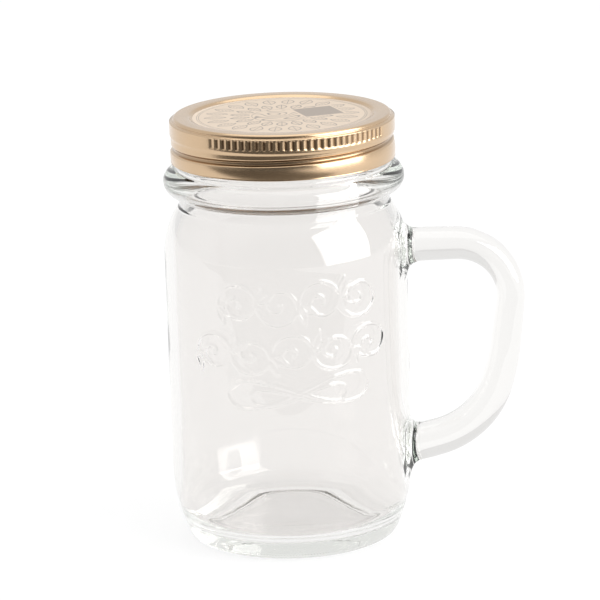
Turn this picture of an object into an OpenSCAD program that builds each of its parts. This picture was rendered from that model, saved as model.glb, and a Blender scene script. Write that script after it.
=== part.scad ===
// Handled glass jar with a one-piece screw cap, in millimetres.
// The origin is on the jar's axis, in the plane that the jar stands on. +Z is up,
// the handle is towards +X, and -Y is the front.

/* [Glass body] */
// Outer diameter of the straight wall
body_d = 77.6; // [74:0.2:100]
// Height of the glass, from the standing plane to the sealing rim
jar_h = 136.8; // [125:0.2:175]
// Thickness of the straight wall
wall = 3.2; // [2:0.1:4.5]
// Height of the floor's upper face over the standing plane
floor_z = 5.6; // [5:0.1:12]
// Radius of the hollow where the floor meets the wall
floor_r = 7.5; // [6:0.5:18]

/* [Heel and foot] */
// Height where the wall starts to draw in towards the foot
heel_h = 24; // [16:0.5:32]
// Radius of the heel's long curve
heel_r = 55; // [45:1:90]
// Radius that turns the heel into the foot
foot_r = 3.2; // [2:0.1:5]
// Width of the flat ring that the jar stands on
foot_w = 3; // [2:0.1:6]
// Depth of the hollow under the floor
punt_h = 1.6; // [0.8:0.1:3]

/* [Shoulder and neck] */
// Outer diameter of the neck wall between the thread's turns
neck_d = 68; // [50:0.2:70]
// Thickness of the neck wall
neck_wall = 3.1; // [2:0.1:4.5]
// Radius of the shoulder
shoulder_r = 27; // [24:0.5:30]
// Height of the straight waist between the shoulder and the bead
waist_l = 1.87; // [0.5:0.01:6]
// Depth of the waist, under the bead, behind the neck wall
waist_in = 0.5; // [0:0.1:1]
// Distance that the bead stands out over the neck wall
bead_out = 4.35; // [3.5:0.05:5]
// Radius of the bead's section
bead_r = 4.2; // [3.4:0.1:5]
// Clearance between the cap's lower edge and the bead
bead_gap = 2.1; // [1:0.1:4]
// Radius of the hollows above and below the bead
bead_fillet = 1.2; // [0.5:0.1:2]
// Radius of the rim's rounded edges
rim_r = 1; // [0.5:0.1:1.4]

/* [Threads] */
// Rise of both threads in one turn
pitch = 4.5; // [4:0.1:6]
// Height of the glass thread over the neck wall
thread_h = 1.1; // [0.9:0.05:1.4]
// Half width of the glass thread at its crest
glass_crest = 0.5; // [0.3:0.05:0.6]
// Half width of the glass thread at the neck wall
glass_root = 1.1; // [0.8:0.05:1.3]
// Turns of thread on the glass
glass_turns = 1.3; // [1:0.05:1.5]
// Depth of the thread that is rolled into the cap's skirt
roll_depth = 0.95; // [0.8:0.05:1.1]
// Half width of the rolled thread at its crest
roll_crest = 0.35; // [0.3:0.05:0.5]
// Half width of the rolled thread at the skirt
roll_root = 1; // [0.8:0.05:1.1]
// Turns of thread in the cap
roll_turns = 1; // [0.8:0.05:1.1]
// Height of the rolled thread over the skirt's lower edge, at the front
roll_rise = 5.6; // [5:0.1:7]
// Angle over which a thread fades out at each end
run_out = 30; // [15:5:45]

/* [Cap] */
// Thickness of the sheet metal
sheet = 0.25; // [0.2:0.01:0.35]
// Height of the cap
cap_h = 14.3; // [13.5:0.1:18]
// Height of the sealing ring between the rim and the cap
seal_t = 0.7; // [0.5:0.05:1]
// Depth of the middle panel below the cap's top ring
panel_drop = 0.8; // [0.5:0.05:1]
// Width of the raised ring round the panel
ring_w = 5; // [4:0.1:6]
// Radius of the cap's upper edge
edge_r = 0.9; // [0.6:0.1:1.2]
// Distance from the cap's upper edge curve to the grip band
edge_neck = 0.5; // [0.3:0.1:1]
// Height of the fluted grip band
grip_h = 3.6; // [2.5:0.1:4.5]
// Number of flutes that would fill the whole band
flutes = 100; // [60:1:120]
// Depth of the flutes
flute_depth = 0.15; // [0.1:0.01:0.15]
// Share of the band's surface that the flutes take
flute_share = 0.6; // [0.4:0.05:0.75]
// Plain land between the flutes and the band's upper edge
grip_land = 0.2; // [0.1:0.05:0.5]
// Radius of the hem at the skirt's lower edge
hem_r = 0.3; // [0.25:0.01:0.4]

/* [Handle] */
// Height of the top arm's centre line over the start of the shoulder
arm_rise = 0.3; // [-6:0.1:2]
// Height of the lower root's middle over the top of the heel
root_rise = 3.2; // [-2:0.1:10]
// Distance from the wall to the bend of the top arm
arm_l = 15.4; // [12:0.2:30]
// Radius of the bend between the top arm and the grip
bend_r = 17.5; // [14:0.5:23]
// Lean of the grip towards the jar, in degrees
lean = 7; // [0:0.5:12]
// Radius of the grip's lower half
lower_r = 65; // [50:1:90]
// Angle of the grip where the lower bend starts, in degrees
lower_angle = 19; // [16:0.5:24]
// Radius of the bend between the grip and the lower arm
heel_bend_r = 27; // [20:0.5:34]
// Angle of the lower arm where it reaches the jar, in degrees
arm_angle = 76; // [60:1:84]
// Thickness of the top arm
top_t = 10.5; // [8:0.1:13]
// Thickness of the grip
grip_t = 9.1; // [7:0.1:12]
// Thickness of the lower arm
low_t = 11.6; // [8:0.1:14]
// Width of the handle, across its plane
handle_w = 13; // [9:0.1:18]
// Radius of the flare where the arms meet the jar
flare_r = 4; // [2:0.1:6]

/* [Clearances] */
// Between the glass thread's crest and the inside of the cap's skirt
skirt_gap = 0.35; // [0.25:0.05:0.6]
// Between the turns of the two threads, along the axis
flank_gap = 0.4; // [0.25:0.05:0.6]
// Between the sealing rim and the sealing ring
seal_gap = 0.05; // [0.02:0.01:0.1]

/* [Hidden] */

body_r = body_d / 2;
neck_r = neck_d / 2;
waist_r = neck_r - waist_in;
mouth_r = neck_r - neck_wall;

// The cap is worked out from the glass thread outwards and from the rim upwards
thread_r = neck_r + thread_h;
skirt_in = thread_r + skirt_gap;
skirt_r = skirt_in + sheet;
cap_edge_r = neck_r + skirt_gap + sheet;
cap_top = jar_h + seal_gap + seal_t + sheet;
cap_bottom = cap_top - cap_h;
panel_z = cap_top - panel_drop;
grip_top = cap_top - edge_r - edge_neck;
grip_bottom = grip_top - grip_h;

// Height between two circles that touch, where their centres lie dx apart
function touch(r_sum, dx) = sqrt(r_sum * r_sum - dx * dx);

// The bead hangs under the cap, and the waist and the shoulder hang under the bead.
// _x is the radius at which a section's or fillet's centre lies, and _z its height.
bead_x = neck_r + bead_out - bead_r;
bead_z = cap_bottom - bead_gap - bead_r;
shoulder_x = body_r - shoulder_r;
waist_x = waist_r + bead_fillet;
waist_top_z = bead_z - touch(bead_r + bead_fillet, waist_x - bead_x);
waist_low_z = waist_top_z - waist_l;
shoulder_z = waist_low_z - touch(shoulder_r + bead_fillet, waist_x - shoulder_x);

// Share of the sheet by which its inner face moves over at a bend of 45 degrees
mitre = tan(22.5);
// The flutes come in two runs, at opposite sides of the band, which start at these
// angles and each reach over run_angle
run_starts = [50, 230];
run_angle = 102;

// Both threads follow one helix. The glass thread lies above the rolled one, which pulls
// up against its lower side. Angles count from the handle, and the front is at 270.
front = 270;
roll_z = cap_bottom + roll_rise;
thread_z = roll_z + glass_crest + roll_root + flank_gap;
roll_start = 15;
glass_end = 560;
thread_steps = 60;
// Depth to which a ridge reaches into its wall
ridge_sink = 0.6;

// The arms start this far inside the wall, and the jar's own shape cuts them flush
arm_sink = 3;
arm_z = shoulder_z + arm_rise;
root_z = heel_h + root_rise;
handle_sides = 24;
arm_steps = 8;
bend_steps = 12;
grip_steps = 3;
lower_steps = 5;
root_steps = 6;
// The handle's bends as radius, heading before and heading after, where 0 is away from
// the jar and -90 is straight down. The straight grip takes up what they leave over.
bends = [[bend_r, 0, -90 - lean],
         [lower_r, -90 - lean, -90 - lower_angle],
         [heel_bend_r, -90 - lower_angle, -90 - arm_angle]];
bends_fall = [for (b = bends) b[0] * (cos(b[1]) - cos(b[2]))] * [1, 1, 1];
bends_reach = [for (b = bends) b[0] * (sin(b[1]) - sin(b[2]))] * [1, 1, 1];
grip_l = (arm_z - root_z - bends_fall - (arm_l + bends_reach) / tan(arm_angle))
         / (cos(lean) - sin(lean) / tan(arm_angle));

// Points of an arc round c from angle a to angle b
function arc(c, r, a, b, n) = [for (i = [0:n]) let (t = a + (b - a) * i / n) c + r * [cos(t), sin(t)]];

// Outer side of the glass, from the middle of the base to the sealing rim
function glass_outside() =
    let (heel_c = [body_r - heel_r, heel_h],
         foot_c = heel_c + [touch(heel_r - foot_r, heel_h - foot_r), foot_r - heel_h],
         heel_a = atan2(foot_c[1] - heel_c[1], foot_c[0] - heel_c[0]),
         ring_in = foot_c[0] - foot_w,
         shoulder_a = atan2(waist_low_z - shoulder_z, waist_x - shoulder_x),
         low_a = atan2(waist_top_z - bead_z, waist_x - bead_x),
         top_c = [neck_r + bead_fillet,
                  bead_z + touch(bead_r + bead_fillet, neck_r + bead_fillet - bead_x)],
         top_a = atan2(top_c[1] - bead_z, top_c[0] - bead_x))
    concat([[0, punt_h], [ring_in - 2 * punt_h, punt_h], [ring_in, 0]],
           arc(foot_c, foot_r, -90, heel_a, 8),
           arc(heel_c, heel_r, heel_a, 0, 10),
           arc([shoulder_x, shoulder_z], shoulder_r, 0, shoulder_a, 12),
           arc([waist_x, waist_low_z], bead_fillet, 180 + shoulder_a, 180, 5),
           arc([waist_x, waist_top_z], bead_fillet, 180, 180 + low_a, 5),
           arc([bead_x, bead_z], bead_r, low_a, top_a, 18),
           arc(top_c, bead_fillet, 180 + top_a, 180, 5),
           arc([neck_r - rim_r, jar_h - rim_r], rim_r, 0, 90, 6));

// Inner side of the glass, from the sealing rim to the middle of the floor
function glass_inside() =
    let (hollow_r = shoulder_r - wall,
         mouth_a = acos((mouth_r - shoulder_x) / hollow_r))
    concat(arc([mouth_r + rim_r, jar_h - rim_r], rim_r, 90, 180, 6),
           arc([shoulder_x, shoulder_z], hollow_r, mouth_a, 0, 12),
           arc([body_r - wall - floor_r, floor_z + floor_r], floor_r, 0, -90, 12),
           [[0, floor_z]]);

// Bar that climbs the right-hand helix. It passes the front at mid_z and has the radii
// in_r and out_r, with half_in and half_out its half widths there. Over its first and
// last stretches the radii run out to fade_in and fade_out.
module helix_bar(in_r, out_r, fade_in, fade_out, half_in, half_out, mid_z, start, turns) {
    steps = ceil(turns * thread_steps);
    points = [for (i = [0:steps])
        let (a = start + 360 * turns * i / steps,
             z = mid_z + pitch * (a - front) / 360,
             f = sin(90 * min(1, (a - start) / run_out, (start + 360 * turns - a) / run_out)),
             ri = fade_in + (in_r - fade_in) * f,
             ro = fade_out + (out_r - fade_out) * f)
        for (p = [[ri, z - half_in], [ro, z - half_out], [ro, z + half_out], [ri, z + half_in]])
            [p[0] * cos(a), p[0] * sin(a), p[1]]];
    sides = [for (i = [0:steps - 1], k = [0:3])
        let (b = 4 * i, j = (k + 1) % 4)
        each [[b + k, b + j, b + 4 + j], [b + k, b + 4 + j, b + 4 + k]]];
    end = 4 * steps;
    ends = [[3, 2, 1, 0], [end, end + 1, end + 2, end + 3]];
    polyhedron(points = points, faces = concat(sides, ends), convexity = 8);
}

module jar() {
    sunk = neck_r - ridge_sink;
    color("azure", 0.45) union() {
        rotate_extrude($fn = 96) polygon(concat(glass_outside(), glass_inside()));
        helix_bar(sunk, thread_r, sunk, neck_r - ridge_sink / 2, glass_root, glass_crest,
                  thread_z, glass_end - 360 * glass_turns, glass_turns);
    }
}

// The handle's centre line as [x, z, heading]. bend() follows one of the bends from p.
function bend(p, b, n) = [for (i = [1:n])
    let (h = b[1] + (b[2] - b[1]) * i / n)
    [p[0] + b[0] * (sin(b[1]) - sin(h)), p[1] + b[0] * (cos(h) - cos(b[1])), h]];
function ahead(p, l, n) = [for (i = [1:n])
    [p[0] + l * cos(p[2]) * i / n, p[1] + l * sin(p[2]) * i / n, p[2]]];
function last(list) = list[len(list) - 1];

function centre_line() =
    let (root = [body_r - arm_sink, arm_z, 0],
         top = ahead(root, arm_l + arm_sink, arm_steps),
         bent = bend(last(top), bends[0], bend_steps),
         grip = ahead(last(bent), grip_l, grip_steps),
         lower = bend(last(grip), bends[1], lower_steps),
         heel = bend(last(lower), bends[2], bend_steps),
         left = (last(heel)[0] - body_r + arm_sink) / sin(arm_angle),
         arm = ahead(last(heel), left, root_steps))
    concat([root], top, bent, grip, lower, heel, arm);

// Flare of the arms near the wall, a quarter circle of radius flare_r. The wall is
// round, so it lies further back at the sides of an arm than in the handle's plane.
function flare(x, across) =
    let (wall_x = sqrt(pow(body_r, 2) - pow(across, 2)), d = max(0, min(flare_r, x - wall_x)))
    flare_r - sqrt(pow(flare_r, 2) - pow(flare_r - d, 2));

module handle() {
    path = centre_line();
    n = len(path);
    knee = 1 + arm_steps + bend_steps;
    points = [for (i = [0:n - 1])
        let (p = path[i],
             // The section thins from the top arm to the grip and thickens to the lower arm
             t = i < knee ? top_t + (grip_t - top_t) * i / knee
                          : grip_t + (low_t - grip_t) * (i - knee) / (n - 1 - knee))
        for (k = [0:handle_sides - 1])
            let (a = 360 * k / handle_sides,
                 grow = flare(p[0], (handle_w + flare_r) / 2 * sin(a)),
                 out = (t / 2 + grow) * cos(a),
                 across = (handle_w / 2 + grow) * sin(a))
            [p[0] - out * sin(p[2]), across, p[1] + out * cos(p[2])]];
    sides = [for (i = [0:n - 2], k = [0:handle_sides - 1])
        let (b = i * handle_sides, j = (k + 1) % handle_sides)
        each [[b + k, b + j, b + handle_sides + j], [b + k, b + handle_sides + j, b + handle_sides + k]]];
    first_end = [for (k = [handle_sides - 1:-1:0]) k];
    last_end = [for (k = [0:handle_sides - 1]) (n - 1) * handle_sides + k];
    color("azure", 0.6) difference() {
        polyhedron(points = points, faces = concat(sides, [first_end, last_end]), convexity = 6);
        rotate_extrude($fn = 96) polygon(concat(glass_outside(), [[0, jar_h]]));
    }
}

// One face of the cap's sheet, from its middle to the skirt's lower edge, at depth d
function cap_face(d) =
    let (ring_in = cap_edge_r - ring_w + d * mitre, side = skirt_r - d)
    concat([[0, panel_z - d], [ring_in - panel_drop, panel_z - d], [ring_in, cap_top - d]],
           arc([cap_edge_r - edge_r, cap_top - edge_r], edge_r - d, 90, 0, 6),
           [[side, grip_top - d * mitre], [side, cap_bottom + hem_r]]);
function backwards(list) = [for (i = [len(list) - 1:-1:0]) list[i]];

// Notches of the fluted band, seen from above: triangles that point at the axis. Each
// is twice half_w wide at the skirt's surface and runs on outwards to clear it.
module flute_notches() {
    step = 360 / flutes;
    half_w = skirt_r * tan(step * flute_share / 2);
    clear = 1;
    wide = half_w * (flute_depth + clear) / flute_depth;
    for (from = run_starts, a = [from:step:from + run_angle])
        rotate(a) polygon([[skirt_r - flute_depth, 0], [skirt_r + clear, -wide], [skirt_r + clear, wide]]);
}

module lid() {
    crest_r = skirt_r - roll_depth;
    color("burlywood") difference() {
        union() {
            rotate_extrude($fn = 96) polygon(concat(cap_face(0), backwards(cap_face(sheet))));
            translate([0, 0, cap_bottom + hem_r]) rotate_extrude($fn = 96)
                translate([skirt_in + hem_r, 0]) circle(r = hem_r, $fn = 24);
            helix_bar(crest_r - sheet, skirt_r - sheet / 2, skirt_r - sheet * 0.7, skirt_r - sheet / 2,
                      roll_crest, roll_root, roll_z, roll_start, roll_turns);
        }
        helix_bar(crest_r, skirt_r + ridge_sink, skirt_r, skirt_r + ridge_sink,
                  roll_crest - sheet / 2, roll_root, roll_z, roll_start, roll_turns);
        translate([0, 0, grip_bottom]) linear_extrude(grip_h - grip_land) flute_notches();
    }
}

module sealing_ring() {
    inner = cap_edge_r - ring_w + sheet;
    outer = cap_edge_r - edge_r;
    color("gainsboro") translate([0, 0, jar_h + seal_gap]) difference() {
        cylinder(r = outer, h = seal_t, $fn = 96);
        translate([0, 0, -1]) cylinder(r = inner, h = seal_t + 2, $fn = 96);
    }
}

jar();
handle();
lid();
sealing_ring();
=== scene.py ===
"""Handled glass jar with a gold screw cap: glass, cap, sealing ring, print and studio."""

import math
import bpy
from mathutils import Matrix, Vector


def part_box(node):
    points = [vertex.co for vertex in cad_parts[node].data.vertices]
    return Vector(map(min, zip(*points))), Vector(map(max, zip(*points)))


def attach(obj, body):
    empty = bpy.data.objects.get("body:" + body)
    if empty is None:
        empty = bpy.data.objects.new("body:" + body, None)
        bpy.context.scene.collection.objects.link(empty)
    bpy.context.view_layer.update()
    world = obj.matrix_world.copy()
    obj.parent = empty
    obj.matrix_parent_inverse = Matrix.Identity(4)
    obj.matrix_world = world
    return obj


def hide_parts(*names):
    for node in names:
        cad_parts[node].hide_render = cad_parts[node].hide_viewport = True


bl_info = {
    "name": "Handled Jar with Screw Cap",
    "version": (1, 0, 0),
    "blender": (4, 5, 0),
    "location": "View3D > Sidebar > Jar",
    "description": "Models a clear handled jar, its gold cap and a plain studio round them",
    "category": "Add Mesh",
}

import bpy
import numpy as np
from bpy.props import FloatProperty, FloatVectorProperty, IntProperty, PointerProperty
from mathutils import Matrix

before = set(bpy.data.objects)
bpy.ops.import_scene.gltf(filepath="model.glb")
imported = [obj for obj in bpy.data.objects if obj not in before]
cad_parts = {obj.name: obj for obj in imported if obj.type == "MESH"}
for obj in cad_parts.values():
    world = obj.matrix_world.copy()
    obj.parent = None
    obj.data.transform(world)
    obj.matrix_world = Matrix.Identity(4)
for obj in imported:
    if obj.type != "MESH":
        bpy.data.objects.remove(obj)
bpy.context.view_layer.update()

MM = 0.001
FULL_TURN = 2 * math.pi
JAR_LOW, JAR_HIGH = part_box("jar")
LID_LOW, LID_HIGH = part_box("lid")
SEAL_LOW, SEAL_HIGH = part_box("sealing_ring")

# Angles count from +X towards +Y, so the front, at -Y, is at 270 degrees
FRONT = math.radians(270)
THREAD_START, THREAD_TURNS = math.radians(92), 1.3
ROLL_START, ROLL_TURNS = math.radians(15), 1.0
FLUTE_STARTS = np.radians((50, 230))


def size(name, description, default, unit="LENGTH"):
    """A length in metres, or an angle where unit is ROTATION."""
    return FloatProperty(name=name, description=description, default=default, unit=unit, precision=5)


def colour(name, description, default):
    return FloatVectorProperty(name=name, description=description, default=default,
                               size=3, min=0, max=1, subtype="COLOR")


def fraction(name, description, default):
    return FloatProperty(name=name, description=description, default=default, min=0, max=1)


def amount(name, description, default):
    return FloatProperty(name=name, description=description, default=default)


class GlassSizes(bpy.types.PropertyGroup):
    """The jar's own sizes. Heights count from the plane that it stands on."""

    radius: size("Body Radius", "Outer radius of the straight wall", -JAR_LOW[0])
    height: size("Height", "Height of the sealing rim", JAR_HIGH[2])
    wall: size("Wall", "Thickness of the straight wall", 3.2 * MM)
    floor_z: size("Floor", "Height of the floor's upper face", 5.6 * MM)
    floor_crown: size("Floor Crown", "Rise of the floor's middle", 0.6 * MM)
    floor_r: size("Floor Hollow", "Radius where the floor meets the wall", 7.5 * MM)
    heel_z: size("Heel Height", "Where the wall starts to draw in", 24 * MM)
    heel_r: size("Heel Curve", "Radius of the heel's long curve", 55 * MM)
    foot_r: size("Foot Curve", "Radius that turns the heel into the foot", 3.2 * MM)
    foot_w: size("Foot Width", "Width of the ring that the jar stands on", 3 * MM)
    punt: size("Punt Depth", "Depth of the hollow under the floor", 1.6 * MM)
    shoulder_z: size("Shoulder Height", "Where the shoulder starts", JAR_HIGH[2] - 43.3 * MM)
    shoulder_r: size("Shoulder Curve", "Radius of the shoulder", 27 * MM)
    waist_r: size("Waist Radius", "Outer radius under the bead", 33.5 * MM)
    bead_out: size("Bead Reach", "Outer radius of the bead", 38.35 * MM)
    bead_r: size("Bead Section", "Radius of the bead's section", 4.2 * MM)
    bead_z: size("Bead Height", "Middle of the bead", JAR_HIGH[2] - 19.6 * MM)
    fillet: size("Bead Fillet", "Radius of the hollows round the bead", 1.2 * MM)
    neck_r: size("Neck Radius", "Outer radius of the neck wall", 34 * MM)
    mouth_r: size("Mouth Radius", "Radius of the bore", 30.9 * MM)
    rim_r: size("Rim Round", "Radius of the rim's edges", 1 * MM)
    thread_h: size("Thread Height", "Height of the thread over the neck", 1.1 * MM)
    thread_w: size("Thread Width", "Half width of the thread at its root", 1.1 * MM)
    relief_h: size("Relief Height", "Height of the moulded ornament", 0.38 * MM)
    relief_w: size("Relief Width", "Half width of the ornament's strokes", 0.72 * MM)
    stipple_h: size("Stipple Height", "Height of the bumps under the foot's inner edge", 0.3 * MM)


class HandleSizes(bpy.types.PropertyGroup):
    """The handle's centre line and section."""

    arm_z: size("Top Arm Height", "Height of the top arm's centre line", 93.8 * MM)
    arm_l: size("Top Arm Length", "From the wall to the bend", 15.4 * MM)
    bend_r: size("Top Bend", "Radius between the top arm and the grip", 17.5 * MM)
    lean: size("Lean", "Lean of the grip towards the jar", math.radians(7), "ROTATION")
    grip_l: size("Grip Length", "Straight part of the grip", 14.2 * MM)
    lower_r: size("Lower Curve", "Radius of the grip's lower half", 65 * MM)
    lower_angle: size("Lower Angle", "Lean where the lower bend starts", math.radians(19), "ROTATION")
    heel_r: size("Lower Bend", "Radius between the grip and the lower arm", 27 * MM)
    arm_angle: size("Lower Arm Angle", "Lean of the lower arm", math.radians(76), "ROTATION")
    top_t: size("Top Thickness", "Thickness of the top arm", 10.5 * MM)
    grip_t: size("Grip Thickness", "Thickness of the grip", 9.1 * MM)
    low_t: size("Lower Thickness", "Thickness of the lower arm", 11.6 * MM)
    width: size("Width", "Width across the handle's plane", 13 * MM)
    square: amount("Squareness", "Exponent of the oval section", 2.6)
    root_reach: size("Root Reach", "Length over which a root spreads to the wall", 5 * MM)


class CapSizes(bpy.types.PropertyGroup):
    """The pressed cap's sizes."""

    top: size("Top", "Height of the cap's highest face", LID_HIGH[2])
    bottom: size("Bottom", "Height of the skirt's lower edge", LID_LOW[2])
    sheet: size("Sheet", "Thickness of the metal", 0.25 * MM)
    skirt_r: size("Skirt Radius", "Outer radius of the skirt", 35.7 * MM)
    edge_out: size("Edge Radius", "Outer radius of the upper edge", 34.6 * MM)
    edge_r: size("Edge Round", "Radius of the upper edge", 0.9 * MM)
    ring_w: size("Ring Width", "Width of the raised ring", 5 * MM)
    panel_drop: size("Panel Drop", "Depth of the panel under the ring", 0.8 * MM)
    grip_h: size("Grip Height", "Height of the fluted band", 3.6 * MM)
    flute_h: size("Flute Depth", "Depth of the flutes", 0.4 * MM)
    flutes: IntProperty(name="Flutes", description="Flutes that would fill the whole band", default=100)
    run: size("Run Angle", "Angle that each run of flutes takes", math.radians(102), "ROTATION")
    pitch: size("Pitch", "Rise of the thread in one turn", 4.5 * MM)
    roll_h: size("Roll Depth", "Depth of the rolled thread", 0.95 * MM)
    roll_w: size("Roll Width", "Half width of the rolled thread", 1.15 * MM)
    roll_rise: size("Roll Rise", "Height of the rolled thread at the front, over the skirt's edge", 5.6 * MM)
    barrel: size("Barrel", "Swell of the skirt under the thread", 0.3 * MM)


class Finishes(bpy.types.PropertyGroup):
    """Colours and roughnesses of the finishes."""

    gold: colour("Gold", "Lacquer over the tinplate", (0.66, 0.475, 0.30))
    # Painted shade: a dark brown laid into the flutes and the rolled thread, where shade falls
    painted_groove_shade: colour("Painted Groove Shade", "Painted shade in the flutes and the rolled thread", (0.22, 0.13, 0.064))
    gold_rough: fraction("Gold Roughness", "Mean roughness of the lacquer", 0.22)
    panel: colour("Panel", "Pale print under the panel's drawing", (0.66, 0.55, 0.44))
    ink: colour("Ink", "Lines printed on the panel", (0.16, 0.15, 0.15))
    skin: colour("Glass Skin", "Share of light that a pane lets through", (0.908, 0.894, 0.883))
    glass: colour("Glass Tint", "Colour that thick glass takes", (0.74, 0.90, 0.76))
    tint: amount("Tint Density", "Absorption for each metre of glass", 2.5)
    seal: colour("Sealing Compound", "Colour of the ring under the cap", (0.74, 0.71, 0.66))


class StudioSettings(bpy.types.PropertyGroup):
    """Camera, lights and floor."""

    distance: size("Camera Distance", "Level distance from the jar's axis", 1068.5 * MM)
    camera_z: size("Camera Height", "Height over the floor", 356.3 * MM)
    pitch: size("Pitch", "Angle that the camera looks down", 0.25617, "ROTATION")
    yaw: size("Yaw", "Turn of the camera to the right", 0.00377, "ROTATION")
    roll: size("Roll", "Roll of the camera", -0.02989, "ROTATION")
    bounces: IntProperty(name="Light Bounces", description="Turns that light may take in glass", default=40)
    lens: amount("Lens", "Focal length in millimetres", 206.6)
    back: amount("Surroundings", "Brightness behind and above", 0.85)
    front: amount("Dark Front", "Brightness on the camera's side", 0.12)
    through: amount("Front Through Glass", "The same, seen through glass", 0.9)
    top_power: amount("Top Light", "Power of the light overhead, in watts", 8.0)
    box_power: amount("Softbox", "Power of the softbox at the right, in watts", 16.0)
    flag: colour("Flag", "Dark cloth on the floor in front, which only reflections see", (0.10, 0.09, 0.08))
    floor: colour("Floor", "Colour of the translucent floor", (0.16, 0.16, 0.16))
    glow: amount("Floor Glow", "Light that comes up through the floor", 0.85)


# --- Surfaces ---------------------------------------------------------------------------


def arc(centre, radius, start, end, count):
    """Points (r, z) of a circle's arc: centre + radius * (cos t, sin t), t from start to end."""
    t = np.linspace(start, end, count)
    return np.column_stack((centre[0] + radius * np.cos(t), centre[1] + radius * np.sin(t)))


def straight(a, b, count):
    """Points from a to b at equal steps, without b."""
    t = np.linspace(0, 1, count, endpoint=False)[:, None]
    return np.array(a) * (1 - t) + np.array(b) * t


def smooth(x):
    """The cubic step 3x^2 - 2x^3 of x held between 0 and 1."""
    x = np.clip(x, 0, 1)
    return x * x * (3 - 2 * x)


def touch(radii, apart):
    """Height between the centres of two touching circles that lie apart sideways."""
    return math.sqrt(radii * radii - apart * apart)


class Ring:
    """A set of columns: cell edges round the axis, and the parts that each cell is split into.

    middle is 0 at a cell's edges and rises evenly to 1 in its middle.
    """

    def __init__(self, edges, parts):
        self.parts = np.asarray(parts)
        self.first = np.concatenate(([0], np.cumsum(self.parts)))[:-1]
        self.count = int(self.parts.sum())
        cell = np.repeat(np.arange(len(self.parts)), self.parts)
        share_in = (np.arange(self.count) - self.first[cell]) / self.parts[cell]
        self.angle = edges[cell] + share_in * (edges[cell + 1] - edges[cell])
        self.middle = 1 - np.abs(2 * share_in - 1)

    def run(self, cells):
        """Column numbers along each cell, from its first to its last edge, one row a cell."""
        n = self.parts[cells[0]]
        return (self.first[cells][:, None] + np.arange(n + 1)) % self.count


class Shell:
    """Vertices and faces of one closed surface, gathered part by part."""

    def __init__(self):
        self.points, self.faces, self.count = [], [], 0

    def add(self, points):
        """Takes points of any leading shape and returns their numbers in that shape."""
        flat = points.reshape(-1, 3)
        numbers = self.count + np.arange(len(flat)).reshape(points.shape[:-1])
        self.points.append(flat)
        self.count += len(flat)
        return numbers

    def strip(self, low, high, low_ring, high_ring, skip=()):
        """Faces between two rows. A cell that is split on one side only becomes one polygon."""
        cells = np.setdiff1d(np.arange(len(low_ring.parts)), skip)
        splits = np.column_stack((low_ring.parts[cells], high_ring.parts[cells]))
        for pair in np.unique(splits, axis=0):
            group = cells[(splits == pair).all(1)]
            a, b = low[low_ring.run(group)], high[high_ring.run(group)]
            if pair[0] == pair[1]:
                quads = np.stack((a[:, :-1], a[:, 1:], b[:, 1:], b[:, :-1]), -1)
                self.faces.append(quads.reshape(-1, 4))
            else:
                self.faces.append(np.concatenate((a, b[:, ::-1]), 1))

    def tube(self, rows):
        """Quads between the closed rows of a grid of vertex numbers."""
        a, b = rows[:-1], rows[1:]
        quads = np.stack((a, np.roll(a, -1, 1), np.roll(b, -1, 1), b), -1)
        self.faces.append(quads.reshape(-1, 4))

    def fan(self, point, row, facing_up):
        """Closes a row at a pole."""
        tip = self.add(np.array([point], float))
        after = np.roll(row, -1)
        tips = np.full(len(row), tip[0])
        order = (tips, row, after) if facing_up else (tips, after, row)
        self.faces.append(np.column_stack(order))

    def mesh(self, name):
        """Puts the gathered arrays into a new object at the origin, shaded smooth."""
        mesh = bpy.data.meshes.new(name)
        points = np.concatenate(self.points)
        corners = np.concatenate([f.ravel() for f in self.faces])
        sizes = np.concatenate([np.full(len(f), f.shape[1]) for f in self.faces])
        mesh.vertices.add(len(points))
        mesh.vertices.foreach_set("co", points.astype(np.float32).ravel())
        mesh.loops.add(len(corners))
        mesh.loops.foreach_set("vertex_index", corners.astype(np.int32))
        mesh.polygons.add(len(sizes))
        starts = np.concatenate(([0], np.cumsum(sizes)[:-1]))
        mesh.polygons.foreach_set("loop_start", starts.astype(np.int32))
        mesh.update(calc_edges=True)
        if mesh.validate():
            raise RuntimeError(f"{name}: the mesh has faces that don't fit together")
        mesh.shade_smooth()
        piece = bpy.data.objects.new(name, mesh)
        bpy.context.scene.collection.objects.link(piece)
        return piece


def revolve(shell, profile, rings, push, skips):
    """Turns profile rows (r, z) round the axis and moves each point along the row's normal.

    Row i has the columns of rings[i]. push(i, angle) gives its offsets, and skips[i] the
    cells that stay open between rows i and i + 1. Point: (r cos a, r sin a, z) + push * n.
    """
    slope = np.gradient(profile, axis=0)
    normal = np.column_stack((slope[:, 1], -slope[:, 0]))
    normal /= np.linalg.norm(normal, axis=1, keepdims=True)
    rows = []
    for i, ring in enumerate(rings):
        off = push(i, ring)
        r, z = (profile[i] + off[:, None] * normal[i]).T
        rows.append(shell.add(np.column_stack((r * np.cos(ring.angle), r * np.sin(ring.angle), z))))
    for i in range(len(rows) - 1):
        shell.strip(rows[i], rows[i + 1], rings[i], rings[i + 1], skips.get(i, ()))
    return rows


def helix_height(angle, z, mid_z, pitch, start, turns):
    """Distance in z from the nearest turn of a helix, and how far the thread has run in.

    The helix passes the front, at 270 degrees, at mid_z, and rises by pitch each turn.
    """
    fade = math.radians(30)
    turn = np.round((z - mid_z) / pitch - (angle - FRONT) / FULL_TURN)
    along = angle + turn * FULL_TURN
    gap = z - mid_z - pitch * (along - FRONT) / FULL_TURN
    end = start + turns * FULL_TURN
    return gap, smooth((along - start) / fade) * smooth((end - along) / fade)


# --- Ornament ---------------------------------------------------------------------------


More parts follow.
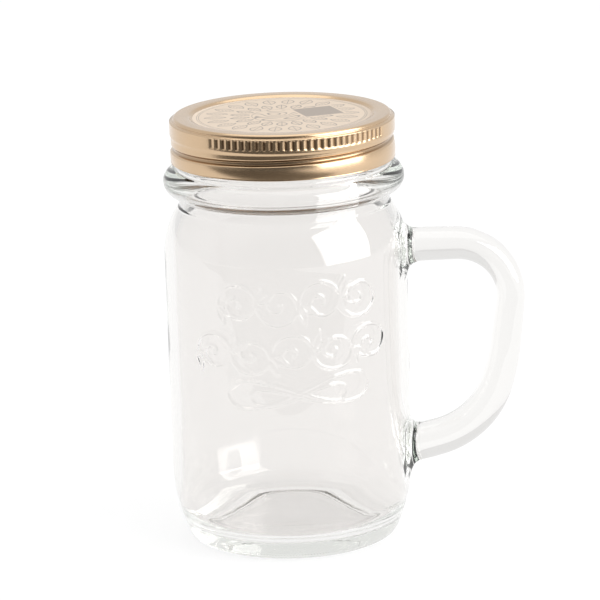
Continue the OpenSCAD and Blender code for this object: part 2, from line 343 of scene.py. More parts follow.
def leaf(root, angle, length, width):
    """Outline of a pointed leaf: two sine arches on a straight midrib."""
    t = np.linspace(0, 1, 24)
    side = width * np.sin(math.pi * t) * (1.2 - 0.6 * t)
    along = np.concatenate((t, t[::-1])) * length
    across = np.concatenate((side, -side[::-1]))
    c, s = math.cos(angle), math.sin(angle)
    return np.column_stack((root[0] + along * c - across * s, root[1] + along * s + across * c))


def scroll_row(left, right, middle_z, rise, tall, curls):
    """A vine of curls between left and right, turned up and down by turns, with leaves.

    A curl is a spiral that leaves the last curl's edge: the first part is the stem's arch,
    at full radius, and past t = 0.28 the radius is 1 - 0.9 ((t - 0.28) / 0.72)^0.7 of it, so
    that it closes well inside the arch. Height: tall times the radius times sin a.
    """
    t = np.linspace(0, 1, 110)
    strokes = []
    half = (right - left) / curls / 2
    shrink = 1 - 0.9 * np.clip((t - 0.28) / 0.72, 0, 1) ** 0.7
    angle = math.pi - 1.62 * FULL_TURN * t
    for k in range(curls):
        up = 1 if k % 2 == 0 else -1
        x, z = left + (2 * k + 1) * half, middle_z + rise * (k + 0.5) / curls
        strokes.append(np.column_stack((x + half * shrink * np.cos(angle),
                                        z + up * tall * half * shrink * np.sin(angle))))
        for lean in (0.5, 1.25):
            strokes.append(leaf((x - half, z - 0.1 * up * half), -up * lean, 0.95 * half, 0.17 * half))
    return strokes


def flourish(middle, reach, lift, tilt):
    """A tied ribbon. Loops: x = reach sin t, z = lift sin 2t, drawn twice at other sizes."""
    t = np.linspace(0, FULL_TURN, 240)
    big = np.column_stack((reach * np.sin(t), lift * np.sin(2 * t)))
    small = np.column_stack((0.66 * reach * np.sin(t), -0.60 * lift * np.sin(2 * t) - 0.25 * lift))
    c, s = math.cos(tilt), math.sin(tilt)
    turn = np.array([[c, s], [-s, c]])
    return [np.array(middle) + line @ turn for line in (big, small)]


def ornament():
    """The strokes of the front relief, as lines in (length round the wall, height)."""
    upper = scroll_row(-23 * MM, 30 * MM, 84.5 * MM, 1.5 * MM, 0.98, 4)
    lower = scroll_row(-32 * MM, 34 * MM, 68.5 * MM, 1.5 * MM, 0.92, 5)
    ribbon = flourish((3 * MM, 56.5 * MM), 23.5 * MM, 4.6 * MM, math.radians(2))
    return upper + lower + ribbon


def relief(points, strokes, half_width):
    """Height share of the relief: 1 on a stroke, falling smoothly to 0 at half_width."""
    nearest = np.full(len(points), np.inf)
    for line in strokes:
        a, b = line[:-1], line[1:]
        low, high = line.min(0) - half_width, line.max(0) + half_width
        near = np.flatnonzero(((points > low) & (points < high)).all(1))
        if not len(near):
            continue
        ab = b - a
        ap = points[near, None, :] - a[None]
        t = np.clip((ap * ab).sum(-1) / np.maximum((ab * ab).sum(-1), 1e-12), 0, 1)
        gap = np.linalg.norm(ap - t[..., None] * ab, axis=-1).min(1)
        nearest[near] = np.minimum(nearest[near], gap)
    return smooth(1.25 * (1 - nearest / half_width))


# --- Glass ------------------------------------------------------------------------------


def wall_radius(g, z):
    """Outer radius of the wall at height z: heel arc, straight wall, shoulder arc."""
    under, over = np.clip(g.heel_z - z, 0, g.heel_r), np.clip(z - g.shoulder_z, 0, g.shoulder_r)
    heel = g.radius - g.heel_r + np.sqrt(g.heel_r ** 2 - under ** 2)
    top = g.radius - g.shoulder_r + np.sqrt(g.shoulder_r ** 2 - over ** 2)
    return np.where(z < g.heel_z, heel, top)


def glass_profile(g, windows, relief_z, rows):
    """Rows (r, z) from the middle of the base over the rim to the middle of the floor."""
    heel_c = (g.radius - g.heel_r, g.heel_z)
    foot_x = heel_c[0] + touch(g.heel_r - g.foot_r, g.heel_z - g.foot_r)
    foot_a = math.atan2(g.foot_r - g.heel_z, foot_x - heel_c[0])
    ring_in = foot_x - g.foot_w
    waist_x = g.waist_r + g.fillet
    shoulder_x, bead_x = g.radius - g.shoulder_r, g.bead_out - g.bead_r
    up_z = g.shoulder_z + touch(g.shoulder_r + g.fillet, waist_x - shoulder_x)
    up_a = math.atan2(up_z - g.shoulder_z, waist_x - shoulder_x)
    low_z = g.bead_z - touch(g.bead_r + g.fillet, waist_x - bead_x)
    low_a = math.atan2(low_z - g.bead_z, waist_x - bead_x)
    top_z = g.bead_z + touch(g.bead_r + g.fillet, g.neck_r + g.fillet - bead_x)
    top_a = math.atan2(top_z - g.bead_z, g.neck_r + g.fillet - bead_x)
    foot_top = g.foot_r * (1 + math.sin(foot_a))
    shoulder_end = g.shoulder_z + g.shoulder_r * math.sin(up_a)

    base = np.concatenate((
        straight((1.5 * MM, g.punt), (ring_in - 5.5 * MM, g.punt), rows["flat"]),
        straight((ring_in - 5.5 * MM, g.punt), (ring_in - 1.2 * MM, g.punt * 0.75), rows["stipple"]),
        straight((ring_in - 1.2 * MM, g.punt * 0.75), (ring_in, 0), 3),
        straight((ring_in, 0), (foot_x, 0), 4),
        arc((foot_x, g.foot_r), g.foot_r, -math.pi / 2, foot_a, 8)[:-1]))
    (low_a0, low_a1), (up_a0, up_a1) = windows
    heights = np.concatenate((
        np.linspace(foot_top, low_a0, 8, endpoint=False),
        np.linspace(low_a0, low_a1, rows["window"], endpoint=False),
        np.linspace(low_a1, relief_z[0], 8, endpoint=False),
        np.linspace(relief_z[0], up_a0, rows["relief"], endpoint=False),
        np.linspace(up_a0, relief_z[1], rows["both"], endpoint=False),
        np.linspace(relief_z[1], up_a1, rows["window"] - rows["both"], endpoint=False),
        np.linspace(up_a1, shoulder_end, 6)))
    wall = np.column_stack((wall_radius(g, heights), heights))
    neck = np.concatenate((
        arc((waist_x, up_z), g.fillet, math.pi + up_a, math.pi, 6)[1:],
        arc((waist_x, low_z), g.fillet, math.pi, math.pi + low_a, 6),
        arc((bead_x, g.bead_z), g.bead_r, low_a, top_a, 24)[1:],
        arc((g.neck_r + g.fillet, top_z), g.fillet, math.pi + top_a, math.pi, 6)[1:],
        straight((g.neck_r, top_z + 0.4 * MM), (g.neck_r, g.height - g.rim_r), rows["thread"]),
        arc((g.neck_r - g.rim_r, g.height - g.rim_r), g.rim_r, 0, math.pi / 2, 7)))
    hollow_r = g.shoulder_r - g.wall
    mouth_a = math.acos((g.mouth_r - shoulder_x) / hollow_r)
    bore_end = g.shoulder_z + hollow_r * math.sin(mouth_a)
    hollow_x = g.radius - g.wall - g.floor_r
    inside = np.concatenate((
        arc((g.mouth_r + g.rim_r, g.height - g.rim_r), g.rim_r, math.pi / 2, math.pi, 7),
        straight((g.mouth_r, g.height - g.rim_r - 0.5 * MM), (g.mouth_r, bore_end + 1 * MM), 8),
        arc((shoulder_x, g.shoulder_z), hollow_r, mouth_a, 0, 12),
        straight((g.radius - g.wall, g.shoulder_z - 1 * MM), (g.radius - g.wall, g.floor_z + g.floor_r), 14),
        arc((hollow_x, g.floor_z + g.floor_r), g.floor_r, 0, -math.pi / 2, 14),
        straight((hollow_x - 1 * MM, g.floor_z), (1.5 * MM, g.floor_z), 10)))
    crown = smooth(1 - inside[:, 0] / hollow_x) * g.floor_crown
    inside[:, 1] += np.where(inside[:, 1] < g.floor_z + 1 * MM, crown, 0)
    parts = (base, wall, neck, inside)
    starts = np.concatenate(([0], np.cumsum([len(p) for p in parts])))
    return np.concatenate(parts), starts


def centre_line(g, h):
    """The handle's centre line as rows (x, z, heading), every bend an arc; 0 heads outwards."""
    points = [np.array([[g.radius, h.arm_z, 0.0]])]

    def ahead(length, count):
        x, z, a = points[-1][-1]
        s = np.linspace(0, length, count + 1)[1:]
        points.append(np.column_stack((x + s * math.cos(a), z + s * math.sin(a), np.full(count, a))))

    def bend(radius, to, count):
        x, z, a = points[-1][-1]
        t = np.linspace(a, to, count + 1)[1:]
        points.append(np.column_stack((x + radius * (math.sin(a) - np.sin(t)),
                                       z + radius * (np.cos(t) - math.cos(a)), t)))

    ahead(h.arm_l, 8)
    bend(h.bend_r, -math.pi / 2 - h.lean, 20)
    ahead(h.grip_l, 6)
    bend(h.lower_r, -math.pi / 2 - h.lower_angle, 8)
    bend(h.heel_r, -math.pi / 2 - h.arm_angle, 20)
    ahead((points[-1][-1][0] - g.radius) / math.sin(h.arm_angle), 8)
    return np.concatenate(points)


def handle_rings(g, h, phi):
    """Rings of the handle: a rounded oval of changing thickness carried along the centre line.

    out = t/2 sgn(cos phi) |cos phi|^(2/n) in the handle's plane, and the same with the
    width and sin phi across it, n being the squareness.
    """
    line = centre_line(g, h)
    step = np.linalg.norm(np.diff(line[:, :2], axis=0), axis=1)
    along = np.concatenate(([0], np.cumsum(step)))
    reach = h.root_reach
    keep = (along > reach) & (along < along[-1] - reach)
    knee = h.arm_l + h.bend_r * math.pi / 2
    thick = np.interp(along, (0, knee, along[-1]), (h.top_t, h.grip_t, h.low_t))
    x, z, a = line[keep].T
    half = thick[keep][:, None] / 2
    power = 2 / h.square
    out = half * np.sign(np.cos(phi)) * np.abs(np.cos(phi)) ** power
    across = h.width / 2 * np.sign(np.sin(phi)) * np.abs(np.sin(phi)) ** power + 0 * out
    rings = np.stack((x[:, None] - out * np.sin(a)[:, None], across,
                      z[:, None] + out * np.cos(a)[:, None]), -1)
    heads = np.stack((np.cos(a), 0 * a, np.sin(a)), -1)
    return rings, heads


def root_patch(border, normal, ring, head, rows):
    """Rows from a hole's border to the handle's first ring, as cubic Bezier curves.

    Each curve leaves the border inside the wall's tangent plane and reaches the ring
    along the handle, so that wall, root and handle run into each other.
    """
    reach = ring - border
    flat = reach - (reach * normal).sum(-1, keepdims=True) * normal
    gap = np.linalg.norm(reach, axis=-1, keepdims=True)
    p1 = border + 0.85 * flat
    p2 = ring - 0.45 * gap * head
    t = np.linspace(0, 1, rows + 2)[1:-1, None, None]
    return (border * (1 - t) ** 3 + 3 * p1 * t * (1 - t) ** 2
            + 3 * p2 * t * t * (1 - t) + ring * t ** 3)


class JAR_OT_glass(bpy.types.Operator):
    """Builds the glass: body, neck, thread, relief and handle as one closed surface"""

    bl_idname = "jar.glass"
    bl_label = "Glass Jar"

    def execute(self, context):
        g, h = context.scene.jar_glass, context.scene.jar_handle
        rows = {"flat": 8, "window": 40, "both": 30, "relief": 100, "thread": 34, "stipple": 8}
        span = 10 * MM
        low_z = centre_line(g, h)[-1][1]
        windows = ((low_z - span, low_z + span), (h.arm_z - span, h.arm_z + span))
        relief_z = (48 * MM, 95.5 * MM)
        profile, starts = glass_profile(g, windows, relief_z, rows)

        window_cells, window_half = 18, math.radians(16.2)
        front = np.radians((214, 326))
        side_cells, front_cells, front_parts, end_edges = 78, 56, 5, 10
        edges = np.concatenate((np.linspace(-window_half, window_half, window_cells, endpoint=False),
                                np.linspace(window_half, front[0], side_cells, endpoint=False),
                                np.linspace(front[0], front[1], front_cells, endpoint=False),
                                np.linspace(front[1], FULL_TURN - window_half, end_edges)))
        cells = len(edges) - 1
        is_front = (edges[:-1] >= front[0] - 1e-6) & (edges[:-1] < front[1] - 1e-6)
        plain = Ring(edges, np.ones(cells, int))
        split = Ring(edges, np.where(is_front, front_parts, 1))
        double = Ring(edges, np.full(cells, 2))

        z = profile[:, 1]
        number = np.arange(len(profile))
        on_wall = (number >= starts[1]) & (number < starts[2])
        in_relief = on_wall & (z > relief_z[0]) & (z < relief_z[1])
        flat = rows["flat"]
        stipple = (number > flat) & (number < flat + rows["stipple"])
        rings = [split if r else double if s else plain for r, s in zip(in_relief, stipple)]
        strokes = ornament()
        on_neck = (number >= starts[2]) & (number < starts[3]) & (z > g.bead_z + g.bead_r)
        c = context.scene.jar_cap
        thread_z = c.bottom + c.roll_rise + 1.9 * MM

        def push(i, ring):
            if in_relief[i]:
                around = (ring.angle - FRONT) * g.radius
                points = np.column_stack((around, np.full(ring.count, z[i])))
                return g.relief_h * relief(points, strokes, g.relief_w)
            if on_neck[i]:
                gap, run = helix_height(ring.angle, z[i], thread_z, c.pitch, THREAD_START, THREAD_TURNS)
                return g.thread_h * run * smooth(1.6 * (1 - np.abs(gap) / g.thread_w))
            if stipple[i]:
                across = math.sin(math.pi * (i - flat) / rows["stipple"]) ** 2
                return -g.stipple_h * across * ring.middle
            return np.zeros(ring.count)

        eps = 1e-7
        low_rows = np.flatnonzero(on_wall & (z > windows[0][0] - eps) & (z < windows[0][1] + eps))
        top_rows = np.flatnonzero(on_wall & (z > windows[1][0] - eps) & (z < windows[1][1] + eps))
        open_cells = np.arange(window_cells)
        skips = {i: open_cells for i in np.concatenate((low_rows[:-1], top_rows[:-1]))}
        shell = Shell()
        numbers = revolve(shell, profile, rings, push, skips)
        shell.fan((0, 0, g.punt), numbers[0], False)
        shell.fan((0, 0, g.floor_z + g.floor_crown), numbers[-1], True)

        def border(first, last, step):
            """The hole's corner numbers: first row left to right, up or down, and back."""
            side = np.arange(first, last, step)
            right = [numbers[i][window_cells] for i in side]
            left = [numbers[i][0] for i in side[::-1] + step]
            return np.concatenate((numbers[first][:window_cells], right,
                                   numbers[last][window_cells:0:-1], left))

        top = border(top_rows[0], top_rows[-1], 1)
        low = border(low_rows[-1], low_rows[0], -1)
        points = np.concatenate(shell.points)
        top_p, low_p = points[top], points[low]
        phi = np.arctan2(top_p[:, 1] / abs(top_p[:, 1]).max(), (top_p[:, 2] - h.arm_z) / span)
        body, heads = handle_rings(g, h, phi)

        def wall_normal(p):
            """Outward normal of the wall, from its slope over height."""
            slope = (wall_radius(g, p[:, 2] + 0.1 * MM) - wall_radius(g, p[:, 2] - 0.1 * MM)) / (0.2 * MM)
            flat = np.hypot(p[:, 0], p[:, 1])
            n = np.column_stack((p[:, 0] / flat, p[:, 1] / flat, -slope))
            return n / np.linalg.norm(n, axis=1, keepdims=True)

        upper = root_patch(top_p, wall_normal(top_p), body[0], heads[0], 12)
        lower = root_patch(low_p, wall_normal(low_p), body[-1], -heads[-1], 12)
        grid = shell.add(np.concatenate((upper, body, lower[::-1])))
        shell.tube(np.concatenate((top[None], grid, low[None])))
        piece = shell.mesh("glass_jar")
        piece.data.materials.append(clear_glass(context.scene.jar_finish))
        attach(piece, "jar")
        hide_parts("jar", "handle")
        return {"FINISHED"}


# --- Cap --------------------------------------------------------------------------------


def grip_top(c):
    """Height of the fluted band's upper end."""
    return c.top - c.edge_r - 0.5 * MM


def cap_face(c, depth, rows):
    """One face of the cap's sheet from the middle of the panel down to the hem, at depth.

    The ring is a low arch, the edge is an arc, and the skirt swells under the grip band.
    """
    ring_in = c.edge_out - c.ring_w
    arch = 0.18 * MM
    ring = straight((ring_in, c.top), (c.edge_out - c.edge_r, c.top), rows["ring"])
    t = np.linspace(0, 1, rows["ring"], endpoint=False)
    ring[:, 1] -= arch * (2 * t - 1) ** 2 - arch * np.clip(2 * t - 1, 0, 1) ** 2
    side_z = np.linspace(grip_top(c), c.bottom + 0.3 * MM, rows["side"])
    swell_z = c.bottom + 2.4 * MM
    swell = c.barrel * np.minimum(((side_z - swell_z) / (2.8 * MM)) ** 2, 1)
    side = np.column_stack((c.skirt_r - np.where(side_z < swell_z + 2.8 * MM, swell, c.barrel), side_z))
    band = smooth((side_z - (grip_top(c) - c.grip_h - 1.6 * MM)) / (1.2 * MM))
    side[:, 0] += c.barrel * band
    panel_z, panel_x = c.top - c.panel_drop, ring_in - c.panel_drop
    face = np.concatenate((
        straight((2 * MM, panel_z), (panel_x - 0.3 * MM, panel_z), rows["panel"]),
        straight((panel_x, panel_z + 0.02 * MM), (ring_in, c.top - arch), 4),
        ring,
        arc((c.edge_out - c.edge_r, c.top - c.edge_r), c.edge_r, math.pi / 2, 0, 8),
        np.array([[c.edge_out - 0.12 * MM, c.top - c.edge_r - 0.2 * MM],
                  [c.edge_out + 0.25 * MM, c.top - c.edge_r - 0.38 * MM]]),
        side))
    slope = np.gradient(face, axis=0)
    normal = np.column_stack((slope[:, 1], -slope[:, 0]))
    normal /= np.linalg.norm(normal, axis=1, keepdims=True)
    return face + depth * normal


class JAR_OT_cap(bpy.types.Operator):
    """Builds the pressed cap: panel, ring, fluted band, rolled thread and hem"""

    bl_idname = "jar.cap"
    bl_label = "Screw Cap"

    def execute(self, context):
        c = context.scene.jar_cap
        rows = {"panel": 10, "ring": 12, "side": 58}
        outer = cap_face(c, 0, rows)
        inner = cap_face(c, c.sheet, rows)
        hem_r = 0.3 * MM
        hem = arc((outer[-1][0] - hem_r * 0.6, outer[-1][1]), hem_r, 0, -math.pi, 9)[1:]
        profile = np.concatenate((outer, hem, inner[::-1]))
        flute = FULL_TURN / c.flutes
        flutes = round(c.run / flute)
        starts, plain_cells = FLUTE_STARTS, 40
        runs = [np.linspace(s, s + flutes * flute, flutes, endpoint=False) for s in starts]
        gaps = [np.linspace(starts[0] + flutes * flute, starts[1], plain_cells, endpoint=False),
                np.linspace(starts[1] + flutes * flute, starts[0] + FULL_TURN, plain_cells + 1)]
        edges = np.concatenate((runs[0], gaps[0], runs[1], gaps[1]))
        parts = np.tile(np.concatenate((np.full(flutes, 8), np.ones(plain_cells, int))), 2)
        fluted, plain = Ring(edges, parts), Ring(edges, np.where(parts > 1, 2, 1))
        z = profile[:, 1]
        number = np.arange(len(profile))
        side_from = len(outer) - rows["side"]
        outside = (number >= side_from) & (number < len(outer))
        inside = (number >= len(outer) + len(hem)) & (number < len(profile) - side_from)
        low, high = grip_top(c) - c.grip_h, grip_top(c) - 0.1 * MM
        band = (outside | inside) & (z > low - 0.5 * MM) & (z < high + 0.4 * MM)
        rings = [fluted if b else plain for b in band]
        roll_z = c.bottom + c.roll_rise

        def push(i, ring):
            if not (outside[i] or inside[i]):
                return np.zeros(ring.count)
            gap, run = helix_height(ring.angle, z[i], roll_z, c.pitch, ROLL_START, ROLL_TURNS)
            dip = c.roll_h * run * smooth(1.3 * (1 - np.abs(gap) / c.roll_w))
            if band[i]:
                fade = smooth((z[i] - low) / (0.5 * MM)) * smooth((high - z[i]) / (0.35 * MM))
                ends = np.minimum(np.abs(ring.angle - starts[0]), np.abs(ring.angle - starts[1]))
                in_run = (np.repeat(parts, ring.parts) > 1)
                wave = ring.middle ** 1.3 * in_run * np.minimum(1, 0.35 + ends / (4 * flute))
                dip = dip + c.flute_h * fade * wave
            return -dip if inside[i] else dip

        shell = Shell()
        numbers = revolve(shell, profile, rings, push, {})
        shell.fan((0, 0, profile[0][1]), numbers[0], False)
        shell.fan((0, 0, profile[-1][1]), numbers[-1], True)
        shell.faces = [f[:, ::-1] for f in shell.faces]
        piece = shell.mesh("cap")
        piece.data.materials.append(gold_lacquer(context.scene.jar_finish, c))
        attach(piece, "cap")
        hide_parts("lid")
        return {"FINISHED"}


class JAR_OT_seal(bpy.types.Operator):
    """Builds the ring of sealing compound in the cap's channel"""

    bl_idname = "jar.seal"
    bl_label = "Sealing Ring"

    def execute(self, context):
        outer = SEAL_HIGH[0]
        inner = context.scene.jar_cap.edge_out - context.scene.jar_cap.ring_w + 0.3 * MM
        low, high = SEAL_LOW[2], SEAL_HIGH[2]
        t = np.linspace(0, FULL_TURN, 28, endpoint=False)
        middle, half_w, half_h = (outer + inner) / 2, (outer - inner) / 2, (high - low) / 2
        round_off = 0.35
        r = middle + half_w * np.sign(np.cos(t)) * np.abs(np.cos(t)) ** round_off
        z = (low + high) / 2 + half_h * np.sign(np.sin(t)) * np.abs(np.sin(t)) ** round_off
        a = np.linspace(0, FULL_TURN, 144, endpoint=False)[:, None]
        shell = Shell()
        grid = shell.add(np.stack((r * np.cos(a), r * np.sin(a), z + 0 * a), -1))
        shell.tube(np.concatenate((grid, grid[:1])))
        shell.faces = [f[:, ::-1] for f in shell.faces]
        piece = shell.mesh("sealing_compound")
        piece.data.materials.append(sealing_compound(context.scene.jar_finish))
        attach(piece, "cap_lift")
        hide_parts("sealing_ring")
        return {"FINISHED"}


# --- Finishes ---------------------------------------------------------------------------


class Tree:
    """A material's or world's node tree, with one method that adds any node."""

    def __init__(self, owner):
        owner.use_nodes = True
        self.nodes, self.links = owner.node_tree.nodes, owner.node_tree.links
        self.nodes.clear()

    def add(self, kind, settings=None, inputs=None):
        """Adds a node: its settings first, then each input's value or link."""
        node = self.nodes.new(kind)
        for name, value in (settings or {}).items():
            setattr(node, name, value)
        for name, value in (inputs or {}).items():
            socket = node.inputs[name]
            if isinstance(value, Socket):
                self.links.new(value.out, socket)
            else:
                socket.default_value = value
        return node

    def out(self, kind, settings=None, inputs=None, name=0):
        return Socket(self, self.add(kind, settings, inputs).outputs[name])


class Socket:
    """An output of a node. Arithmetic on it adds Math nodes; the other side may be a number."""

    def __init__(self, tree, out):
        self.tree, self.out = tree, out

    def math(self, operation, *others):
        inputs = dict(enumerate((self, *others)))
        return self.tree.out("ShaderNodeMath", {"operation": operation}, inputs)

    def __add__(self, other):
        return self.math("ADD", other)

    def __radd__(self, other):
        return self.math("ADD", other)

    def __sub__(self, other):
        return self.math("SUBTRACT", other)

    def __rsub__(self, other):
        return self.math("MULTIPLY_ADD", -1.0, other)

    def __mul__(self, other):
        return self.math("MULTIPLY", other)

    def __rmul__(self, other):
        return self.math("MULTIPLY", other)

    def __truediv__(self, other):
        return self.math("DIVIDE", other)

    def step(self, low, high):
        """0 at low, 1 at high, smooth between them."""
        settings = {"interpolation_type": "SMOOTHSTEP"}
        inputs = {"Value": self, "From Min": low, "From Max": high}
        return self.tree.out("ShaderNodeMapRange", settings, inputs)

    def blend(self, a, b):
        """The colour a where this is 0 and b where it is 1."""
        settings = {"data_type": "RGBA"}
        node = self.tree.add("ShaderNodeMix", settings)
        for number, value in ((6, a), (7, b)):
            if isinstance(value, Socket):
                self.tree.links.new(value.out, node.inputs[number])
            else:
                node.inputs[number].default_value = (*value, 1)
        self.tree.links.new(self.out, node.inputs[0])
        return Socket(self.tree, node.outputs[2])


def axes(tree, vector):
    """The three parts of a vector socket."""
    node = tree.add("ShaderNodeSeparateXYZ", inputs={0: vector})
    return [Socket(tree, o) for o in node.outputs]


def object_place(tree):
    return tree.out("ShaderNodeTexCoord", name="Object")


def noise(tree, place, scale, detail=3.0):
    return tree.out("ShaderNodeTexNoise", {}, {"Vector": place, "Scale": scale, "Detail": detail}, "Fac")


def bump(tree, height, strength, distance):
    inputs = {"Strength": strength, "Distance": distance, "Height": height}
    return tree.out("ShaderNodeBump", {}, inputs, "Normal")


def surface(name, build):
    """A material whose shader build(tree) returns, with a volume as well where it returns two."""
    material = bpy.data.materials.new(name)
    tree = Tree(material)
    shaders = build(tree)
    output = tree.add("ShaderNodeOutputMaterial")
    for shader, socket in zip(shaders, ("Surface", "Volume")):
        tree.links.new(shader.out, output.inputs[socket])
    return material


def clear_glass(finish):
    """Polished soda-lime glass: faint mould ripple, and a green tint where it is thick."""
    def build(tree):
        ripple = noise(tree, object_place(tree), 45.0, 1.0)
        shader = tree.out("ShaderNodeBsdfPrincipled", {}, {
            "Base Color": (*finish.skin, 1), "Roughness": 0.0, "IOR": 1.52, "Transmission Weight": 1.0,
            "Normal": bump(tree, ripple, 0.12, 0.001)})
        tint = tree.out("ShaderNodeVolumeAbsorption", {}, {
            "Color": (*finish.glass, 1), "Density": finish.tint})
        return shader, tint

    return surface("clear glass", build)


def sealing_compound(finish):
    """Matt flowed-in compound with slow waves in its skin."""
    def build(tree):
        place = object_place(tree)
        tone = noise(tree, place, 300.0).step(0.3, 0.7)
        darker = tuple(0.9 * v for v in finish.seal)
        shader = tree.out("ShaderNodeBsdfPrincipled", {}, {
            "Base Color": tone.blend(darker, finish.seal), "Roughness": 0.55,
            "Normal": bump(tree, noise(tree, place, 120.0), 0.25, 0.0004)})
        return (shader,)

    return surface("sealing compound", build)


def gold_lacquer(finish, c):
    """Gold lacquer with painted shade, a dark brown, in the flutes and the rolled thread, and the panel's
    pale print and drawing.
    """
    def build(tree):
        place = object_place(tree)
        x, y, z = axes(tree, place)
        r = (x * x + y * y).math("SQRT") * (1 / MM)
        panel_r = (c.edge_out - c.ring_w - c.panel_drop) / MM
        # The mask reaches past the panel's lower face, so the print shows faintly inside the cap too
        on_top = z.step(c.top - 1.2 * MM, c.top - 1.0 * MM)
        in_panel = (1 - r.step(panel_r - 0.6, panel_r - 0.3)) * on_top
        ink = panel_drawing(tree, x * (1 / MM), y * (1 / MM), r, panel_r) * in_panel
        grain = noise(tree, place, 700.0)
        cloud = noise(tree, place, 60.0)
        gold = cloud.step(0.3, 0.7).blend(tuple(0.94 * v for v in finish.gold), finish.gold)
        flute_r, grip_z = c.skirt_r / MM, grip_top(c)
        in_band = z.step(grip_z - c.grip_h - 0.1 * MM, grip_z - c.grip_h + 0.1 * MM)
        under_edge = 1 - z.step(grip_z - 0.3 * MM, grip_z)
        # Masks of the painted shade: the gold turns dark brown in the flutes and in the rolled thread's
        # groove
        flute_shade = (1 - r.step(flute_r - 0.34, flute_r - 0.08)) * in_band * under_edge
        roll_shade = (1 - r.step(flute_r - 1.0, flute_r - 0.45)) * (1 - in_band)
        gold = (0.9 * flute_shade + 0.55 * roll_shade).math("MINIMUM", 1.0).blend(gold, finish.painted_groove_shade)
        printed = ink.blend(finish.panel, finish.ink)
        base = in_panel.blend(gold, printed)
        shader = tree.out("ShaderNodeBsdfPrincipled", {}, {
            "Base Color": base, "Metallic": 1 - 0.8 * in_panel,
            "Roughness": finish.gold_rough + 0.06 * (grain - 0.5) + 0.33 * in_panel,
            "Coat Weight": 0.35 * (1 - in_panel), "Coat Roughness": 0.12,
            "Normal": bump(tree, grain, 0.04, 0.0002)})
        return (shader,)

    return surface("gold lacquer", build)


def panel_drawing(tree, x, y, r, panel_r):
    """A generic drawing in thin lines: rings, two wreaths of leaves and a dark blank label."""
    def line(value, half):
        return 1 - value.math("ABSOLUTE").step(half * 0.5, half)

    def wreath(radius, length, width, count, shift):
        angle = y.math("ARCTAN2", x) + shift
        sector = FULL_TURN / count
        turned = (angle / sector).math("FRACT") - 0.5
        along = (r - radius) / length
        across = turned * (sector * radius)
        bulge = (along * math.pi).math("SINE") * width
        inside = along.step(0.0, 0.02) * (1 - along.step(0.98, 1.0))
        outline = line(across.math("ABSOLUTE") - bulge, 0.22) + line(across, 0.12)
        veins = line(((along * length + across.math("ABSOLUTE")) / 1.3).math("FRACT") - 0.5, 0.16)
        filled = bulge.math("GREATER_THAN", across.math("ABSOLUTE"))
        return (outline + 0.5 * veins * filled) * inside

    rings = line(r - (panel_r - 1.8), 0.14) + line(r - (panel_r - 2.4), 0.14) + line(r - 9.5, 0.14)
    contours = line((noise(tree, object_place(tree), 95.0, 0.0) * 11).math("FRACT") - 0.5, 0.17)
    middle = 1 - r.step(9.2, 9.5)
    drawing = rings + wreath(17.5, 7.2, 1.6, 22, 0.1) + wreath(10.2, 6.4, 1.2, 18, 0.35) + middle * contours
    u, v = x * 0.94 + y * 0.34 - 12.5, y * 0.94 - x * 0.34 - 0.5
    label = (1 - u.math("ABSOLUTE").step(6.3, 6.45)) * (1 - v.math("ABSOLUTE").step(6.3, 6.45))
    frame_line = (1 - u.math("ABSOLUTE").step(7.0, 7.1)) * (1 - v.math("ABSOLUTE").step(7.0, 7.1))
    return (drawing * (1 - frame_line) * 0.62).math("MINIMUM", 1.0) + label * 0.6


# --- Studio -----------------------------------------------------------------------------


def lit_floor(studio):
    """Matt translucent sheet with soft light from below, and a hardly visible mottle."""
    def build(tree):
        mottle = noise(tree, object_place(tree), 6.0).step(0.2, 0.8)
        shade = mottle.blend(tuple(0.985 * v for v in studio.floor), studio.floor)
        return (tree.out("ShaderNodeBsdfPrincipled", {}, {
            "Base Color": shade, "Roughness": 0.9, "Specular IOR Level": 0.1,
            "Emission Color": (1, 1, 1, 1), "Emission Strength": studio.glow}),)

    return surface("lit floor", build)


def area_light(name, place, aim, width, height, power):
    light = bpy.data.lights.new(name, "AREA")
    light.shape, light.size, light.size_y, light.energy = "RECTANGLE", width, height, power
    lamp = bpy.data.objects.new(name, light)
    bpy.context.scene.collection.objects.link(lamp)
    towards = Matrix.Translation(aim).translation - Matrix.Translation(place).translation
    lamp.matrix_world = Matrix.Translation(place) @ towards.to_track_quat("-Z", "Y").to_matrix().to_4x4()
    return lamp


def surroundings(studio):
    """World light: bright behind and above, dim in front unless seen through glass; the camera sees white."""
    world = bpy.data.worlds.new("studio")
    bpy.context.scene.world = world
    tree = Tree(world)
    direction = tree.out("ShaderNodeTexCoord", name="Generated")
    _, y, z = axes(tree, direction)
    behind = (y + 0.5 * z).step(-0.75, 0.15)
    refracted = tree.out("ShaderNodeLightPath", name="Is Transmission Ray")
    ahead = studio.front + refracted * (studio.through - studio.front)
    bright = behind * studio.back + (1 - behind) * ahead
    seen = tree.out("ShaderNodeLightPath", name="Is Camera Ray")
    strength = bright * (1 - seen) + seen
    shader = tree.out("ShaderNodeBackground", {}, {"Color": (1, 1, 1, 1), "Strength": strength})
    output = tree.add("ShaderNodeOutputWorld")
    tree.links.new(shader.out, output.inputs["Surface"])


def flat_sheet(name, low, high, z):
    """A level rectangle between two corners (x, y) at height z."""
    shell = Shell()
    corners = [(low[0], low[1], z), (high[0], low[1], z), (high[0], high[1], z), (low[0], high[1], z)]
    shell.faces.append(shell.add(np.array(corners, float))[None])
    return shell.mesh(name)


def cloth(studio):
    """Matt dark cloth of the flag, with a faint weave."""
    def build(tree):
        weave = noise(tree, object_place(tree), 400.0).step(0.3, 0.7)
        shade = weave.blend(tuple(0.8 * v for v in studio.flag), studio.flag)
        return (tree.out("ShaderNodeBsdfPrincipled", {}, {"Base Color": shade, "Roughness": 1.0}),)

    return surface("flag cloth", build)


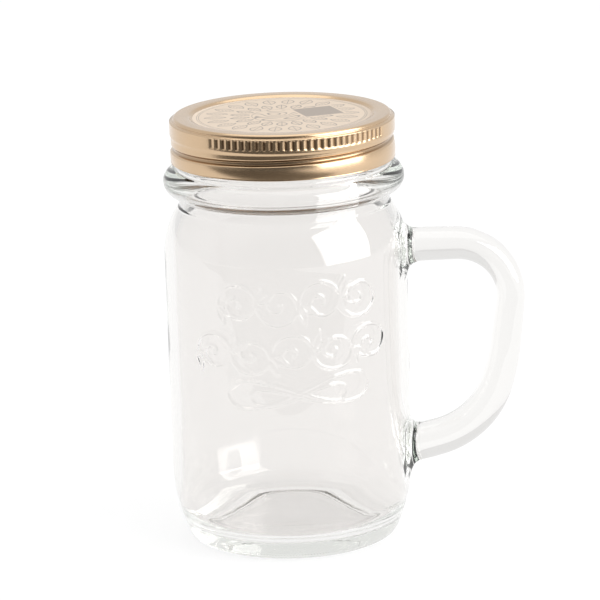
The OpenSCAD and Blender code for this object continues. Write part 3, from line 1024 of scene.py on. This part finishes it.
class JAR_OT_studio(bpy.types.Operator):
    """Builds the floor, the lights, the surroundings and the camera"""

    bl_idname = "jar.studio"
    bl_label = "Studio"

    def execute(self, context):
        s = context.scene.jar_studio
        floor = flat_sheet("floor", (-4, -4), (4, 4), 0)
        floor.data.materials.append(lit_floor(s))
        front_flag = flat_sheet("front_flag", (-2, -3), (0.30, -0.20), 2 * MM)
        front_flag.data.materials.append(cloth(s))
        front_flag.visible_camera = front_flag.visible_transmission = False
        front_flag.visible_diffuse = front_flag.visible_shadow = False
        surroundings(s)
        area_light("top light", (0.1, 0.15, 1.6), (0, 0, 0.05), 1.8, 1.8, s.top_power)
        area_light("right softbox", (0.945, -0.524, 0.50), (0, 0, 0.09), 1.1, 0.95, s.box_power)

        forward = np.array([math.sin(s.yaw) * math.cos(s.pitch), math.cos(s.yaw) * math.cos(s.pitch),
                            -math.sin(s.pitch)])
        right = np.cross(forward, (0, 0, 1))
        right /= np.linalg.norm(right)
        up = np.cross(right, forward)
        turned_right = right * math.cos(s.roll) + up * math.sin(s.roll)
        turned_up = up * math.cos(s.roll) - right * math.sin(s.roll)
        place = np.eye(4)
        place[:3, 0], place[:3, 1], place[:3, 2] = turned_right, turned_up, -forward
        place[:3, 3] = 0, -s.distance, s.camera_z
        camera = bpy.data.objects.new("camera", bpy.data.cameras.new("camera"))
        camera.data.lens, camera.data.sensor_width = s.lens, 36
        camera.data.clip_end = 20
        camera.matrix_world = Matrix(place.tolist())
        context.scene.collection.objects.link(camera)
        context.scene.camera = camera
        context.scene.view_settings.view_transform = "Standard"
        # Light needs many turns to leave a bead or a handle's root; cut short, they go black
        paths = context.scene.cycles
        paths.max_bounces = paths.transmission_bounces = s.bounces
        paths.glossy_bounces = s.bounces // 2
        return {"FINISHED"}


class JAR_PT_panel(bpy.types.Panel):
    """Lists the pieces in the sidebar"""

    bl_label = "Handled Jar"
    bl_idname = "JAR_PT_panel"
    bl_space_type = "VIEW_3D"
    bl_region_type = "UI"
    bl_category = "Jar"

    def draw(self, context):
        for piece in PIECES:
            self.layout.operator(piece.bl_idname)
        for group in GROUPS:
            settings = getattr(context.scene, group)
            box = self.layout.box()
            for name in type(settings).__annotations__:
                box.prop(settings, name)


PIECES = (JAR_OT_glass, JAR_OT_cap, JAR_OT_seal, JAR_OT_studio)
GROUPS = {"jar_glass": GlassSizes, "jar_handle": HandleSizes, "jar_cap": CapSizes,
          "jar_finish": Finishes, "jar_studio": StudioSettings}


def register():
    for cls in (*GROUPS.values(), *PIECES, JAR_PT_panel):
        bpy.utils.register_class(cls)
    for name, cls in GROUPS.items():
        setattr(bpy.types.Scene, name, PointerProperty(type=cls))


def unregister():
    for name in GROUPS:
        delattr(bpy.types.Scene, name)
    for cls in (JAR_PT_panel, *reversed(PIECES), *reversed(GROUPS.values())):
        bpy.utils.unregister_class(cls)


def main():
    """Builds every piece in order."""
    register()
    bpy.ops.jar.glass()
    bpy.ops.jar.cap()
    bpy.ops.jar.seal()
    bpy.ops.jar.studio()


if __name__ == "__main__":
    main()
